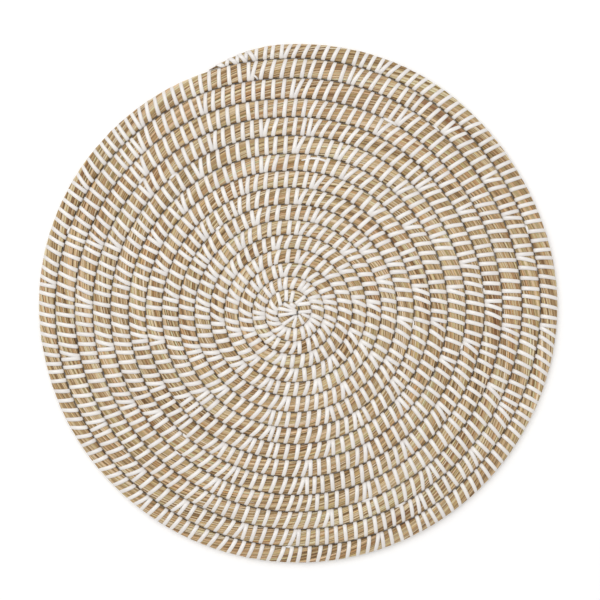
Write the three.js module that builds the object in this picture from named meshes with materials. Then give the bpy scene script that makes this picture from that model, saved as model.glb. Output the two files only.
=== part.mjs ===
// Round grass placemat: one long bundle of dried grass, wound into a flat coil.
// Millimetres, +Z up. The mat lies on z = 0 and the box round its outline is centred on the origin.
// The coil starts at the eye and runs anticlockwise as seen from above. A place on it is given by
// its bearing: the degrees wound since the eye, so 360 is one whole turn.
import * as THREE from "three";

// Driving sizes
const RIM_RADIUS = 191;
const THICKNESS = 8;
const GROOVE_DEPTH = 2.3; // from the crowns of two turns down to the groove between them
const EYE = { x: -5.1, y: -5.9 }; // the coil's start, from the middle of the rim
const COIL_END = 15 * 360 + 109.5; // bearing of the bundle's end

// Width of the bundle along the coil. It is thin at the eye and again in the last turn.
const WIDTHS = [
  { turn: 0, width: 8.5 },
  { turn: 1.3, width: 9.3 },
  { turn: 3, width: 10.2 },
  { turn: 4.7, width: 10.0 },
  { turn: 6, width: 11.1 },
  { turn: 7.2, width: 12.0 },
  { turn: 9, width: 11.9 },
  { turn: 10.5, width: 12.8 },
  { turn: 12, width: 13.1 },
  { turn: 13.1, width: 14.3 },
  { turn: 14.2, width: 13.1 },
  { turn: 14.75, width: 12.6 },
  { turn: 15.26, width: 10.6 },
];

// The turns are packed a little tighter on one side than on the other.
const SLACK = { share: 0.043, loosest: 43 };

// The bundle's end tapers off against the turn below it: degrees along the rim, and how far its
// outer edge falls inside the rim's circle.
const TAPER = { span: 16, drop: 6.6 };
const TAPER_START = COIL_END - TAPER.span;

// Past the taper the turn below swings out to the full radius. The turns inside it follow, each a
// little less than the one outside it.
const SWING = { span: 85, power: 1.6 };

// One side of the rim is a little flat.
const FLAT = { at: 33, half: 36, depth: 2.4 };

// The bundle's section, as shares of its width or of half the thickness
const BANK = 0.29; // from the groove out to where the flat crown starts
const SHOULDER = { in: 0.4, height: 0.74 }; // on the outer side of the last turn
const LAND = 0.3; // the upright edge of the rim, above and below the middle
const FULL_WIDTH = 8; // a bundle thinner than this is lower too
const THIN_HEIGHT = 0.4; // the height that a bundle of no width would keep

// Bearings of the facets: an even step round the mat, and finer ones at the tapered end
const FACET_STEP = 8;
const END_FACETS = [94, 100, 105, 109.5, 111.5];
const LEAST_STEP = 3; // an even bearing this near to one of those is left out
const POINTS_A_TURN = 3; // a profile's points for each turn: two banks and the groove between them

const { degToRad, euclideanModulo, lerp, mapLinear } = THREE.MathUtils;

// Distance from the eye to a circle drawn about the middle of the rim
function circleRadius(bearing, shortfall) {
  const along = -EYE.x * Math.cos(degToRad(bearing)) - EYE.y * Math.sin(degToRad(bearing));
  const offsetSquared = EYE.x ** 2 + EYE.y ** 2;
  return along + Math.sqrt((RIM_RADIUS - shortfall) ** 2 - offsetSquared + along ** 2);
}

// Width of the bundle before its taper
function fullWidth(bearing) {
  const turn = Math.max(0, bearing / 360);
  const next = Math.max(1, WIDTHS.findIndex((row) => row.turn >= turn));
  const [from, to] = [WIDTHS[next - 1], WIDTHS[next]];
  const loose = 1 + SLACK.share * Math.cos(degToRad(bearing - SLACK.loosest));
  return mapLinear(turn, from.turn, to.turn, from.width, to.width) * loose;
}

const STEP_OUT = fullWidth(TAPER_START); // the rim is this much short where the taper starts

function flatDepth(bearing) {
  const away = Math.abs(euclideanModulo(bearing - FLAT.at + 180, 360) - 180) / FLAT.half;
  return away < 1 ? (FLAT.depth * (1 + Math.cos(Math.PI * away))) / 2 : 0;
}

// Inner edge of the bundle if the rim gained its last width evenly. Each turn lies inside the next.
function evenRadius(bearing) {
  if (bearing < TAPER_START) return evenRadius(bearing + 360) - fullWidth(bearing);
  const gained = (bearing - TAPER_START) / 360;
  return circleRadius(bearing, STEP_OUT * (1 - gained) + flatDepth(bearing));
}

// How far a full swing puts a turn outside that even line
function swingOut(bearing) {
  const gained = euclideanModulo(bearing - TAPER_START, 360) / 360;
  const left = Math.max(0, 1 - (gained * 360) / SWING.span) ** SWING.power;
  return STEP_OUT * (1 - gained - left);
}

// Distance from the eye to the inner edge of the bundle, or past its end to the rim
function grooveRadius(bearing) {
  return evenRadius(bearing) + Math.min(1, bearing / TAPER_START) * swingOut(bearing);
}

// Distance from the eye to the outer edge of the tapered end
function taperRadius(bearing) {
  const share = (bearing - TAPER_START) / TAPER.span;
  return circleRadius(bearing, TAPER.drop * share ** 2);
}

function bundleWidth(bearing) {
  if (bearing < TAPER_START) return fullWidth(bearing);
  return taperRadius(bearing) - grooveRadius(bearing);
}

// Height of the bundle's crown above the mat's middle
function crownHeight(bearing) {
  const fullness = Math.min(1, bundleWidth(bearing) / FULL_WIDTH);
  return (THICKNESS / 2) * lerp(THIN_HEIGHT, 1, fullness);
}

// The mat's upper profile along one bearing, from the eye to the rim
function profile(angle) {
  const floor = THICKNESS / 2 - GROOVE_DEPTH;
  const points = [{ radius: 0, height: THICKNESS / 2 }];
  let bearing = angle;
  for (; bearing <= COIL_END; bearing += 360) {
    const radius = grooveRadius(bearing);
    const inside = Math.min(bundleWidth(bearing - 360), 2 * radius);
    points.push({ radius: radius - BANK * inside, height: crownHeight(bearing - 360) });
    points.push({ radius, height: floor });
    points.push({ radius: radius + BANK * bundleWidth(bearing), height: crownHeight(bearing) });
  }
  const last = bearing - 360;
  const edge = last >= TAPER_START ? taperRadius(last) : grooveRadius(bearing);
  const side = BANK * bundleWidth(last);
  const crown = crownHeight(last);
  points.push({ radius: edge - side, height: crown });
  points.push({ radius: edge - SHOULDER.in * side, height: crown * SHOULDER.height });
  points.push({ radius: edge, height: crown * LAND });
  return points;
}

function facetAngles() {
  const even = Array.from({ length: 360 / FACET_STEP }, (_, step) => step * FACET_STEP);
  const nearEnd = (angle) => END_FACETS.some((end) => Math.abs(end - angle) < LEAST_STEP);
  return [...even.filter((angle) => !nearEnd(angle)), ...END_FACETS].sort((a, b) => a - b);
}

// Joins two neighbouring profiles with triangles, always stepping along the one that lags behind.
// Both start at the eye. lead is how many points nearer the rim the first profile's turns stand.
function zip(first, second, lead) {
  const triangles = [];
  let i = 1;
  let j = 0;
  while (i < first.length - 1 || j < second.length - 1) {
    const secondDone = j === second.length - 1;
    if (secondDone || (i < first.length - 1 && i + lead <= j)) {
      triangles.push([first[i], first[i + 1], second[j]]);
      i += 1;
    } else {
      triangles.push([first[i], second[j + 1], second[j]]);
      j += 1;
    }
  }
  return triangles;
}

// One closed solid: the upper face, the same face turned over below, and the upright edge between
function coilGeometry() {
  const positions = [];
  const addVertex = (x, y, z) => positions.push(x, y, z) / 3 - 1;
  const columns = facetAngles().map((angle) => ({ angle, points: profile(angle) }));
  const faceOf = (side) => {
    const eye = addVertex(EYE.x, EYE.y, THICKNESS / 2 + (side * THICKNESS) / 2);
    return columns.map(({ angle, points }) =>
      points.map(({ radius, height }, step) => {
        if (step === 0) return eye;
        const x = EYE.x + radius * Math.cos(degToRad(angle));
        const y = EYE.y + radius * Math.sin(degToRad(angle));
        return addVertex(x, y, THICKNESS / 2 + side * height);
      }),
    );
  };
  const upper = faceOf(1);
  const lower = faceOf(-1);
  const triangles = [];
  for (let column = 0; column < columns.length; column += 1) {
    const next = (column + 1) % columns.length;
    const lead = next === 0 ? POINTS_A_TURN : 0; // past the last column each turn is one further out
    triangles.push(...zip(upper[column], upper[next], lead));
    triangles.push(...zip(lower[column], lower[next], lead).map(([a, b, c]) => [a, c, b]));
    const [a, b] = [upper[column].at(-1), upper[next].at(-1)];
    const [c, d] = [lower[column].at(-1), lower[next].at(-1)];
    triangles.push([a, c, d], [a, d, b]);
  }
  const geometry = new THREE.BufferGeometry();
  geometry.setAttribute("position", new THREE.Float32BufferAttribute(positions, 3));
  geometry.setIndex(triangles.flat());
  return geometry;
}

// Moves the outline's box to the middle of the frame
function centred(geometry) {
  geometry.computeBoundingBox();
  const middle = geometry.boundingBox.getCenter(new THREE.Vector3());
  geometry.translate(-middle.x, -middle.y, 0);
  geometry.computeVertexNormals();
  return geometry;
}

const driedGrass = new THREE.MeshStandardMaterial({ color: 0xb5925b, roughness: 0.8, metalness: 0 });
driedGrass.flatShading = true;

const coil = new THREE.Mesh(centred(coilGeometry()), driedGrass);
coil.name = "grass_mat";

const placemat = new THREE.Group();
placemat.add(coil);

export default placemat;
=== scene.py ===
"""Round placemat, coiled from one bundle of dried grass and lashed with glossy white strap.

The coil starts at the eye and runs anticlockwise as seen from above. A place along it is its
bearing: the degrees wound since the eye, so 360 is one whole turn. Lengths are in millimetres from
the eye, as a maker would measure them, and become metres in the model's own frame as each point is
placed. The mat lies on z = 0.
"""

import logging
import math
from dataclasses import dataclass, field
from enum import Enum
from functools import cached_property
from typing import Any

import bpy
import numpy as np
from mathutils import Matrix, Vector


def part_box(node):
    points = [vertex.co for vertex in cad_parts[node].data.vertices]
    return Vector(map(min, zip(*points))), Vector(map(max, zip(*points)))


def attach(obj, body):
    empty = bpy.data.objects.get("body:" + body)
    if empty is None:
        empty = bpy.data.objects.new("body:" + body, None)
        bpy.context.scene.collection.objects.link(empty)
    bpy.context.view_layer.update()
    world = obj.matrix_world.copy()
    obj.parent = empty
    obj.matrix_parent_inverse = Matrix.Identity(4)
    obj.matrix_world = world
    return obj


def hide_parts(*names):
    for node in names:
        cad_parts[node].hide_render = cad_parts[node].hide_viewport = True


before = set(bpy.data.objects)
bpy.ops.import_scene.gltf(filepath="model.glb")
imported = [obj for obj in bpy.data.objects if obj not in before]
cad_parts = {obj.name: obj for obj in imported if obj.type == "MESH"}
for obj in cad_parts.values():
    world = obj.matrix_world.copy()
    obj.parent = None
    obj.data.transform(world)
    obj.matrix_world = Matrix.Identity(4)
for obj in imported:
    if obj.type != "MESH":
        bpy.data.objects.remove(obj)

MM = 0.001
TURN = 360.0
NODE = "grass_mat"
BODY = "root"
MIDDLE = 4.0  # height of the bundle's middle above the table
TINY = 1e-9  # stands in for a length of nothing
STRAP_UNEVENNESS = 0.06  # how much a strap's section varies, as a share of its size
MIX_FACTOR, MIX_UNDER, MIX_OVER, MIX_RESULT = 0, 6, 7, 2  # a Mix node's sockets for colours

log = logging.getLogger("placemat")


class Slot(Enum):
    """The finishes that the record names."""

    GRASS = "dried_grass"
    STRAP = "white_strap"


class Face(Enum):
    """The two faces of the mat, as the sign of a height above the bundle's middle."""

    UPPER = 1
    LOWER = -1


@dataclass(frozen=True)
class AlongCoil:
    """A size in millimetres, a number of turns from the eye."""

    turn: float
    size: float


@dataclass(frozen=True)
class Settled:
    """How far the turns have crept from an even coil, a number of turns from the eye."""

    turn: float
    right: float
    down: float
    out: float


def size_at(rows: tuple[AlongCoil, ...], bearing: np.ndarray) -> np.ndarray:
    """Reads a table of sizes along the coil.

    Args:
        rows: the table, in the order of its turns.
        bearing: where to read it, in degrees.

    Returns:
        The size at each bearing, in millimetres.
    """
    turns = [row.turn for row in rows]
    return np.interp(np.asarray(bearing) / TURN, turns, [row.size for row in rows])


@dataclass(frozen=True)
class CoilPath:
    """The line between each turn of the coil and the next, as the maker laid it."""

    rim_radius: float = 191.0
    eye_x: float = -5.1
    eye_y: float = -5.9
    end: float = 15 * TURN + 109.5
    widths: tuple[AlongCoil, ...] = (
        AlongCoil(0, 8.5),
        AlongCoil(1.3, 9.3),
        AlongCoil(3, 10.2),
        AlongCoil(4.7, 10.0),
        AlongCoil(6, 11.1),
        AlongCoil(7.2, 12.0),
        AlongCoil(9, 11.9),
        AlongCoil(10.5, 12.8),
        AlongCoil(12, 13.1),
        AlongCoil(13.1, 14.3),
        AlongCoil(14.2, 13.1),
        AlongCoil(14.75, 12.6),
        AlongCoil(15.26, 10.6),
    )
    settled: tuple[Settled, ...] = (
        Settled(0, 0.5, 0.8, 0.0),
        Settled(2, 0.5, 1.9, 0.2),
        Settled(5, 0.4, 1.9, 0.1),
        Settled(7, -0.1, 2.5, 0.6),
        Settled(10, -0.1, 2.3, 0.5),
        Settled(12, -0.2, 2.1, 1.1),
        Settled(13, -0.2, 1.8, 0.5),
        Settled(14, -0.2, 1.0, 0.1),
        Settled(14.42, -0.1, 0.7, 0.0),
        Settled(14.55, -0.1, 0.6, 1.2),
        Settled(14.68, -0.1, 0.5, 0.3),
        Settled(15, 0.0, 0.3, -0.4),
        Settled(15.17, 0.0, 0.1, -0.9),
        Settled(15.22, 0.0, 0.0, -0.2),
        Settled(15.26, 0.0, 0.0, 0.4),
        Settled(15.32, 0.0, 0.0, 0.0),
    )
    slack_share: float = 0.043
    loosest_bearing: float = 43.0
    taper_span: float = 16.0
    taper_drop: float = 7.5
    taper_power: float = 1.5
    swing_span: float = 85.0
    swing_power: float = 1.6
    flat_bearing: float = 33.0
    flat_half: float = 36.0
    flat_depth: float = 2.4
    flat_fading: float = 1.7  # how quickly the flat stretch is lost from turn to turn
    full_width: float = 8.0
    thin_height: float = 0.4
    least_radius: float = 0.2
    table_step: float = 0.25
    outline_points: int = 1440

    @property
    def taper_start(self) -> float:
        """Bearing where the bundle's end starts to taper."""
        return self.end - self.taper_span

    @property
    def step_out(self) -> float:
        """How far the rim is short of its full radius where the taper starts."""
        return float(self.untapered_width(self.taper_start))

    def circle_radius(self, bearing: np.ndarray, shortfall: np.ndarray) -> np.ndarray:
        """Distance from the eye to a circle about the middle of the rim.

        Args:
            bearing: directions, in degrees.
            shortfall: how much smaller than the rim the circle is.

        Returns:
            The distances, in millimetres.
        """
        angle = np.radians(bearing)
        along = -self.eye_x * np.cos(angle) - self.eye_y * np.sin(angle)
        offset_squared = self.eye_x**2 + self.eye_y**2
        return along + np.sqrt((self.rim_radius - shortfall) ** 2 - offset_squared + along**2)

    def untapered_width(self, bearing: np.ndarray) -> np.ndarray:
        """Width of the bundle before its taper, wider on the loose side of the mat."""
        loose = 1 + self.slack_share * np.cos(np.radians(bearing - self.loosest_bearing))
        return size_at(self.widths, bearing) * loose

    def flat_at(self, bearing: np.ndarray) -> np.ndarray:
        """How far the flat stretch of the rim, and less so of each turn inside it, lies in.

        Args:
            bearing: places along the coil, in degrees.

        Returns:
            The depths, in millimetres.
        """
        away = np.abs((bearing - self.flat_bearing + TURN / 2) % TURN - TURN / 2) / self.flat_half
        depth = np.where(away < 1, self.flat_depth * (1 + np.cos(math.pi * away)) / 2, 0.0)
        return depth * np.clip(bearing / self.taper_start, 0, 1) ** self.flat_fading

    def even_radius(self, bearing: np.ndarray) -> np.ndarray:
        """Inner edge of the bundle if the rim gained its last width evenly.

        Args:
            bearing: places along the coil, in degrees.

        Returns:
            The distances from the eye, in millimetres.
        """
        at = np.array(bearing, float)
        inside = np.zeros_like(at)
        while (at < self.taper_start).any():
            below = at < self.taper_start
            inside += np.where(below, self.untapered_width(at), 0.0)
            at = np.where(below, at + TURN, at)
        gained = (at - self.taper_start) / TURN
        return self.circle_radius(at, self.step_out * (1 - gained)) - inside

    def crept(self, bearing: np.ndarray) -> np.ndarray:
        """How far from the eye the sewing has pulled the turns.

        Args:
            bearing: places along the coil, in degrees.

        Returns:
            The distances to add, in millimetres. There is none past the bundle's end.
        """
        turns = [row.turn for row in self.settled]
        columns = zip(*[(row.right, row.down, row.out) for row in self.settled])
        right, down, out = (np.interp(bearing / TURN, turns, column) for column in columns)
        angle = np.radians(bearing)
        return out + right * np.cos(angle) - down * np.sin(angle)

    @cached_property
    def laid(self) -> tuple[np.ndarray, np.ndarray]:
        """The groove's whole line at close steps: bearings, and distances from the eye."""
        bearing = np.arange(-TURN, self.end + TURN + self.table_step, self.table_step)
        gained = ((bearing - self.taper_start) % TURN) / TURN
        left = np.clip(1 - gained * TURN / self.swing_span, 0, None) ** self.swing_power
        swing = self.step_out * (1 - gained - left)
        radius = self.even_radius(bearing) + np.minimum(1, bearing / self.taper_start) * swing
        radius += self.crept(bearing) - self.flat_at(bearing)
        return bearing, np.maximum(radius, self.least_radius)

    def groove(self, bearing: np.ndarray) -> np.ndarray:
        """Distance from the eye to the inner edge of the bundle. Past the end it reads the rim."""
        return np.interp(bearing, *self.laid)

    def outer(self, bearing: np.ndarray) -> np.ndarray:
        """Distance from the eye to the outer edge of the bundle.

        Args:
            bearing: places along the coil, in degrees.

        Returns:
            The distances, in millimetres.
        """
        bearing = np.asarray(bearing, float)
        share = np.clip((bearing - self.taper_start) / self.taper_span, 0, None)
        drop = self.taper_drop * share**self.taper_power
        tapered = self.circle_radius(bearing, drop + self.flat_at(bearing))
        return np.where(bearing >= self.taper_start, tapered, self.groove(bearing + TURN))

    def height_share(self, bearing: np.ndarray) -> np.ndarray:
        """How high the bundle is: 1 where it has its full width, and less at the thin end."""
        width = self.outer(bearing) - self.groove(bearing)
        return self.thin_height + (1 - self.thin_height) * np.clip(width / self.full_width, 0, 1)

    @cached_property
    def shift(self) -> tuple[float, float]:
        """The shift along X and Y that centres the outline on the frame's node."""
        bearing = np.linspace(self.end - TURN, self.end, self.outline_points)
        radius = self.outer(bearing)
        angle = np.radians(bearing)
        low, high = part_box(NODE)
        middle = (low + high) / 2 / MM
        x = self.eye_x + radius * np.cos(angle)
        y = self.eye_y + radius * np.sin(angle)
        return middle.x - (x.min() + x.max()) / 2, middle.y - (y.min() + y.max()) / 2

    def place(self, bearing: np.ndarray, radius: np.ndarray, height: np.ndarray) -> np.ndarray:
        """Puts points of the coil into the model's frame.

        Args:
            bearing: directions from the eye, in degrees.
            radius: distances from the eye, in millimetres.
            height: heights above the table, in millimetres.

        Returns:
            An array with a row of three metres for each point.
        """
        shift_x, shift_y = self.shift
        angle = np.radians(bearing)
        x = self.eye_x + shift_x + radius * np.cos(angle)
        y = self.eye_y + shift_y + radius * np.sin(angle)
        return np.stack(np.broadcast_arrays(x, y, height), axis=-1) * MM


@dataclass(frozen=True)
class Section:
    """The bundle's section: an oval with flattened sides, the same above and below."""

    half_height: float = 3.3
    squareness: float = 2.7
    clearance: float = 0.07  # between the grass and the line where two turns meet
    samples: int = 96

    def oval(self, angle: np.ndarray) -> tuple[np.ndarray, np.ndarray]:
        """Points of the oval for a half width and a half height of 1.

        Args:
            angle: 0 at the outer side, 90 at the crown, 180 at the inner side.

        Returns:
            How far out and how far up each point is.
        """
        turned = np.radians(angle)
        power = 2 / self.squareness
        across = np.sign(np.cos(turned)) * np.abs(np.cos(turned)) ** power
        up = np.sign(np.sin(turned)) * np.abs(np.sin(turned)) ** power
        return across, up

    def walk(self, half_width: float, half_height: float) -> tuple[np.ndarray, np.ndarray, float]:
        """Points at even steps round one section.

        Args:
            half_width: half the section's width.
            half_height: half its height.

        Returns:
            How far out and up the points are, the first and last alike, and the way round.
        """
        across, up = self.oval(np.linspace(0, TURN, 4 * self.samples + 1))
        x = across * half_width
        z = up * half_height
        walked = np.concatenate([[0], np.cumsum(np.hypot(np.diff(x), np.diff(z)))])
        even = np.linspace(0, walked[-1], self.samples + 1)
        return np.interp(even, walked, x), np.interp(even, walked, z), float(walked[-1])


@dataclass
class Guide:
    """The line that one stem or strap follows, with what its section needs at each point."""

    points: np.ndarray
    outward: np.ndarray
    share: np.ndarray
    marks: dict[str, np.ndarray] = field(default_factory=dict)

    def square_outward(self) -> np.ndarray:
        """The outward directions, made square to the line.

        Returns:
            A row of unit length for each point.
        """
        tangent = np.gradient(self.points, axis=0)
        tangent /= np.linalg.norm(tangent, axis=1, keepdims=True)
        square = self.outward - (self.outward * tangent).sum(1, keepdims=True) * tangent
        return square / np.maximum(np.linalg.norm(square, axis=1, keepdims=True), TINY)


class NodeBuilder:
    """Adds nodes to a tree from a type, settings and socket values."""

    def __init__(self, tree: bpy.types.NodeTree) -> None:
        """Keeps the tree that the nodes go to."""
        self.tree = tree

    def node(self, kind: str, settings: dict[str, Any], values: dict[Any, Any]) -> bpy.types.Node:
        """Adds one node.

        Args:
            kind: the node's type.
            settings: properties set first. stops is a ramp's list of place and colour.
            values: a number, vector, socket or signal for each socket, by name or index.

        Returns:
            The node.
        """
        made = self.tree.nodes.new(kind)
        for name, value in settings.items():
            if name == "stops":
                self.set_stops(made.color_ramp, value)
            else:
                setattr(made, name, value)
        for key, value in values.items():
            socket = value.socket if isinstance(value, Signal) else value
            if isinstance(socket, bpy.types.NodeSocket):
                self.tree.links.new(socket, made.inputs[key])
            else:
                made.inputs[key].default_value = socket
        return made

    @staticmethod
    def set_stops(ramp: bpy.types.ColorRamp, stops: list[tuple[float, tuple]]) -> None:
        """Gives a colour ramp its stops.

        Args:
            ramp: the ramp, which has two stops when it is new.
            stops: a place from 0 to 1 and a colour for each stop.
        """
        for _ in stops[2:]:
            ramp.elements.new(1.0)
        for element, (place, colour) in zip(ramp.elements, stops):
            element.position = place
            element.color = (*colour, 1.0)


@dataclass(frozen=True)
class Signal:
    """A shader socket that can be used in sums."""

    builder: NodeBuilder
    socket: bpy.types.NodeSocket

    def maths(self, operation: str, first: Any, second: Any) -> "Signal":
        """One Math node on two values."""
        made = self.builder.node("ShaderNodeMath", {"operation": operation}, {0: first, 1: second})
        return Signal(self.builder, made.outputs[0])

    def __add__(self, other: Any) -> "Signal":
        """This plus other."""
        return self.maths("ADD", self, other)

    def __radd__(self, other: Any) -> "Signal":
        """Other plus this."""
        return self.maths("ADD", other, self)

    def __sub__(self, other: Any) -> "Signal":
        """This less other."""
        return self.maths("SUBTRACT", self, other)

    def __rsub__(self, other: Any) -> "Signal":
        """Other less this."""
        return self.maths("SUBTRACT", other, self)

    def __mul__(self, other: Any) -> "Signal":
        """This times other."""
        return self.maths("MULTIPLY", self, other)

    def __rmul__(self, other: Any) -> "Signal":
        """Other times this."""
        return self.maths("MULTIPLY", other, self)

    def spread(self, low: float, high: float) -> "Signal":
        """Stretches a range to 0 to 1, and holds the ends.

        Args:
            low: the value that becomes 0.
            high: the value that becomes 1.

        Returns:
            The stretched signal.
        """
        made = self.builder.node("ShaderNodeMapRange", {"clamp": True}, {0: self, 1: low, 2: high})
        return Signal(self.builder, made.outputs[0])


class Finish:
    """A material whose nodes are written as sums of signals."""

    def __init__(self, name: str) -> None:
        """Makes an empty material with a Principled shader."""
        self.material = bpy.data.materials.new(name)
        self.material.use_nodes = True
        self.material.node_tree.nodes.clear()
        self.builder = NodeBuilder(self.material.node_tree)
        output = self.builder.node("ShaderNodeOutputMaterial", {}, {})
        self.shader = self.builder.node("ShaderNodeBsdfPrincipled", {}, {})
        self.builder.tree.links.new(self.shader.outputs[0], output.inputs[0])

    def mark(self, name: str) -> Signal:
        """What a piece's mesh stores under a name."""
        settings = {"attribute_type": "GEOMETRY", "attribute_name": name}
        made = self.builder.node("ShaderNodeAttribute", settings, {})
        return Signal(self.builder, made.outputs["Fac"])

    def vector(self, x: Any, y: Any, z: Any) -> Signal:
        """Three signals as one vector."""
        made = self.builder.node("ShaderNodeCombineXYZ", {}, {0: x, 1: y, 2: z})
        return Signal(self.builder, made.outputs[0])

    def place(self) -> Signal:
        """Object coordinates, in metres."""
        made = self.builder.node("ShaderNodeTexCoord", {}, {})
        return Signal(self.builder, made.outputs["Object"])

    def distance(self, point: tuple[float, float, float]) -> Signal:
        """Distance from a point of the model, in metres."""
        settings = {"operation": "DISTANCE"}
        made = self.builder.node("ShaderNodeVectorMath", settings, {0: self.place(), 1: point})
        return Signal(self.builder, made.outputs["Value"])

    def noise(self, vector: Signal, scale: float, detail: float) -> Signal:
        """Soft noise from 0 to 1.

        Args:
            vector: where it is read.
            scale: how many blotches there are to a unit.
            detail: how many finer layers lie on it.

        Returns:
            The noise.
        """
        values = {"Vector": vector, "Scale": scale, "Detail": detail}
        made = self.builder.node("ShaderNodeTexNoise", {}, values)
        return Signal(self.builder, made.outputs["Fac"])

    def ramp(self, factor: Signal, stops: list[tuple[float, tuple]]) -> Signal:
        """A colour for each value of a signal."""
        made = self.builder.node("ShaderNodeValToRGB", {"stops": stops}, {"Fac": factor})
        return Signal(self.builder, made.outputs["Color"])

    def mix(self, factor: Signal, under: Any, over: Any, blend: str = "MIX") -> Signal:
        """Lays one colour over another.

        Args:
            factor: how much of the upper colour shows.
            under: the lower colour or signal.
            over: the upper colour or signal.
            blend: how the two combine.

        Returns:
            The colour.
        """
        settings = {"data_type": "RGBA", "blend_type": blend, "clamp_factor": True}
        values = {MIX_FACTOR: factor, MIX_UNDER: self.opaque(under), MIX_OVER: self.opaque(over)}
        made = self.builder.node("ShaderNodeMix", settings, values)
        return Signal(self.builder, made.outputs[MIX_RESULT])

    @staticmethod
    def opaque(colour: Any) -> Any:
        """A plain colour with its alpha, or the signal as it is."""
        return colour if isinstance(colour, Signal) else (*colour, 1.0)

    def bump(self, height: Signal, distance: float) -> Signal:
        """Fine relief from a height signal.

        Args:
            height: 0 for low, 1 for high.
            distance: what the whole range stands for, in metres.

        Returns:
            The normal for the shader.
        """
        values = {"Height": height, "Distance": distance, "Strength": 1.0}
        made = self.builder.node("ShaderNodeBump", {}, values)
        return Signal(self.builder, made.outputs["Normal"])

    def dress(self, values: dict[str, Any]) -> bpy.types.Material:
        """Sets the shader's sockets.

        Args:
            values: a number or signal for each socket, by name.

        Returns:
            The material.
        """
        for name, value in values.items():
            if isinstance(value, Signal):
                self.builder.tree.links.new(value.socket, self.shader.inputs[name])
            else:
                self.shader.inputs[name].default_value = value
        return self.material


@dataclass(frozen=True)
class GapShadow:
    """A painted shadow of a gap between stems: its place, in millimetres from the mat's middle."""

    x: float
    y: float
    radius: float


@dataclass(frozen=True)
class DriedGrass:
    """Straw-coloured stems, some golden, olive, pink or red-brown, with painted shade down in a
    groove.
    """

    darkest: tuple = (0.150, 0.080, 0.032)
    brown: tuple = (0.365, 0.232, 0.112)
    straw: tuple = (0.545, 0.397, 0.226)
    pale: tuple = (0.715, 0.577, 0.390)
    bright: tuple = (0.880, 0.810, 0.680)
    olive: tuple = (0.900, 0.975, 0.850)  # tints, by which a stem's own colour is multiplied
    rose: tuple = (1.000, 0.840, 0.740)
    golden: tuple = (1.000, 0.900, 0.600)
    stain: tuple = (0.230, 0.085, 0.028)
    # painted shade: the colour of the stems down in a groove and in the painted gap shadows
    groove: tuple = (0.055, 0.022, 0.004)
    roughness: float = 0.6
    specular: float = 0.25
    tone_places: tuple = (0.0, 0.22, 0.5, 0.78, 1.0)  # where the five tones stand, dark to bright
    tone_share: float = 0.78  # what a stem's own tone, and the next three, add to its lightness
    streak_share: float = 0.5
    speck_share: float = 0.14
    patch_share: float = 0.35
    darkening: float = 0.21  # what is taken off their sum
    patch_hue: float = 0.9  # how far a patch shifts the hue
    olive_hues: tuple[float, float] = (0.68, 1.0)  # where a tint starts, and where it is full
    rose_hues: tuple[float, float] = (0.32, 0.0)
    golden_streaks: tuple[float, float] = (0.52, 0.75)
    stain_cover: float = 0.6
    stain_streaks: float = 0.5  # how much more a streak takes of a stain
    gap_shadow_fade: tuple[float, float] = (1.3, 0.7)  # of its radius: where it starts, and is full
    tone_apart: float = 70.0  # keeps the streaks of unlike stems unlike
    hue_apart: float = 50.0
    streaks_a_metre: float = 90.0
    patches_a_metre: float = 26.0
    specks_a_metre: float = 900.0
    relief: float = 0.00012
    # painted shadows of gaps between stems, in the groove's colour
    gap_shadows: tuple[GapShadow, ...] = (
        GapShadow(-8.8, 0.0, 1.7),
        GapShadow(-24.3, 0.1, 0.9),
        GapShadow(7.9, -12.0, 0.9),
        GapShadow(-83.9, -114.4, 1.6),
        GapShadow(-32.0, 165.0, 1.1),
    )

    def build(self) -> bpy.types.Material:
        """Makes the material.

        Returns:
            The material, which reads the marks that the stems carry.
        """
        finish = Finish("grass_stems")
        tone, hue, along = finish.mark("tone"), finish.mark("hue"), finish.mark("along")
        lengthwise = along * self.streaks_a_metre
        grain = finish.vector(lengthwise, tone * self.tone_apart, hue * self.hue_apart)
        streak = finish.noise(grain, 1.0, 3.0)
        patch = finish.noise(finish.vector(along * self.patches_a_metre, 0, 0), 1.0, 1.0) - 0.5
        speck = finish.noise(finish.place(), self.specks_a_metre, 2.0)
        level = tone * self.tone_share + streak * self.streak_share + speck * self.speck_share
        level = level + patch * self.patch_share - self.darkening
        hue = hue + patch * self.patch_hue
        tones = (self.darkest, self.brown, self.straw, self.pale, self.bright)
        colour = finish.ramp(level, list(zip(self.tone_places, tones)))
        colour = finish.mix(hue.spread(*self.olive_hues), colour, self.olive, "MULTIPLY")
        colour = finish.mix(hue.spread(*self.rose_hues), colour, self.rose, "MULTIPLY")
        colour = finish.mix(streak.spread(*self.golden_streaks), colour, self.golden, "MULTIPLY")
        cover = self.stain_cover + self.stain_streaks * streak
        colour = finish.mix(finish.mark("stain") * cover, colour, self.stain)
        # painted shade, darkest down in the groove between two turns
        colour = finish.mix(finish.mark("groove"), colour, self.groove)
        # painted shadows of a few gaps between stems
        for gap_shadow in self.gap_shadows:
            away = finish.distance((gap_shadow.x * MM, gap_shadow.y * MM, MIDDLE * 2 * MM))
            edge = gap_shadow.radius * MM
            outside, inside = (edge * share for share in self.gap_shadow_fade)
            colour = finish.mix(away.spread(outside, inside), colour, self.groove)
        normal = finish.bump(streak * 0.5 + speck * 0.5, self.relief)
        values = {
            "Base Color": colour,
            "Roughness": self.roughness,
            "Specular IOR Level": self.specular,
            "Normal": normal,
        }
        return finish.dress(values)


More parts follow.
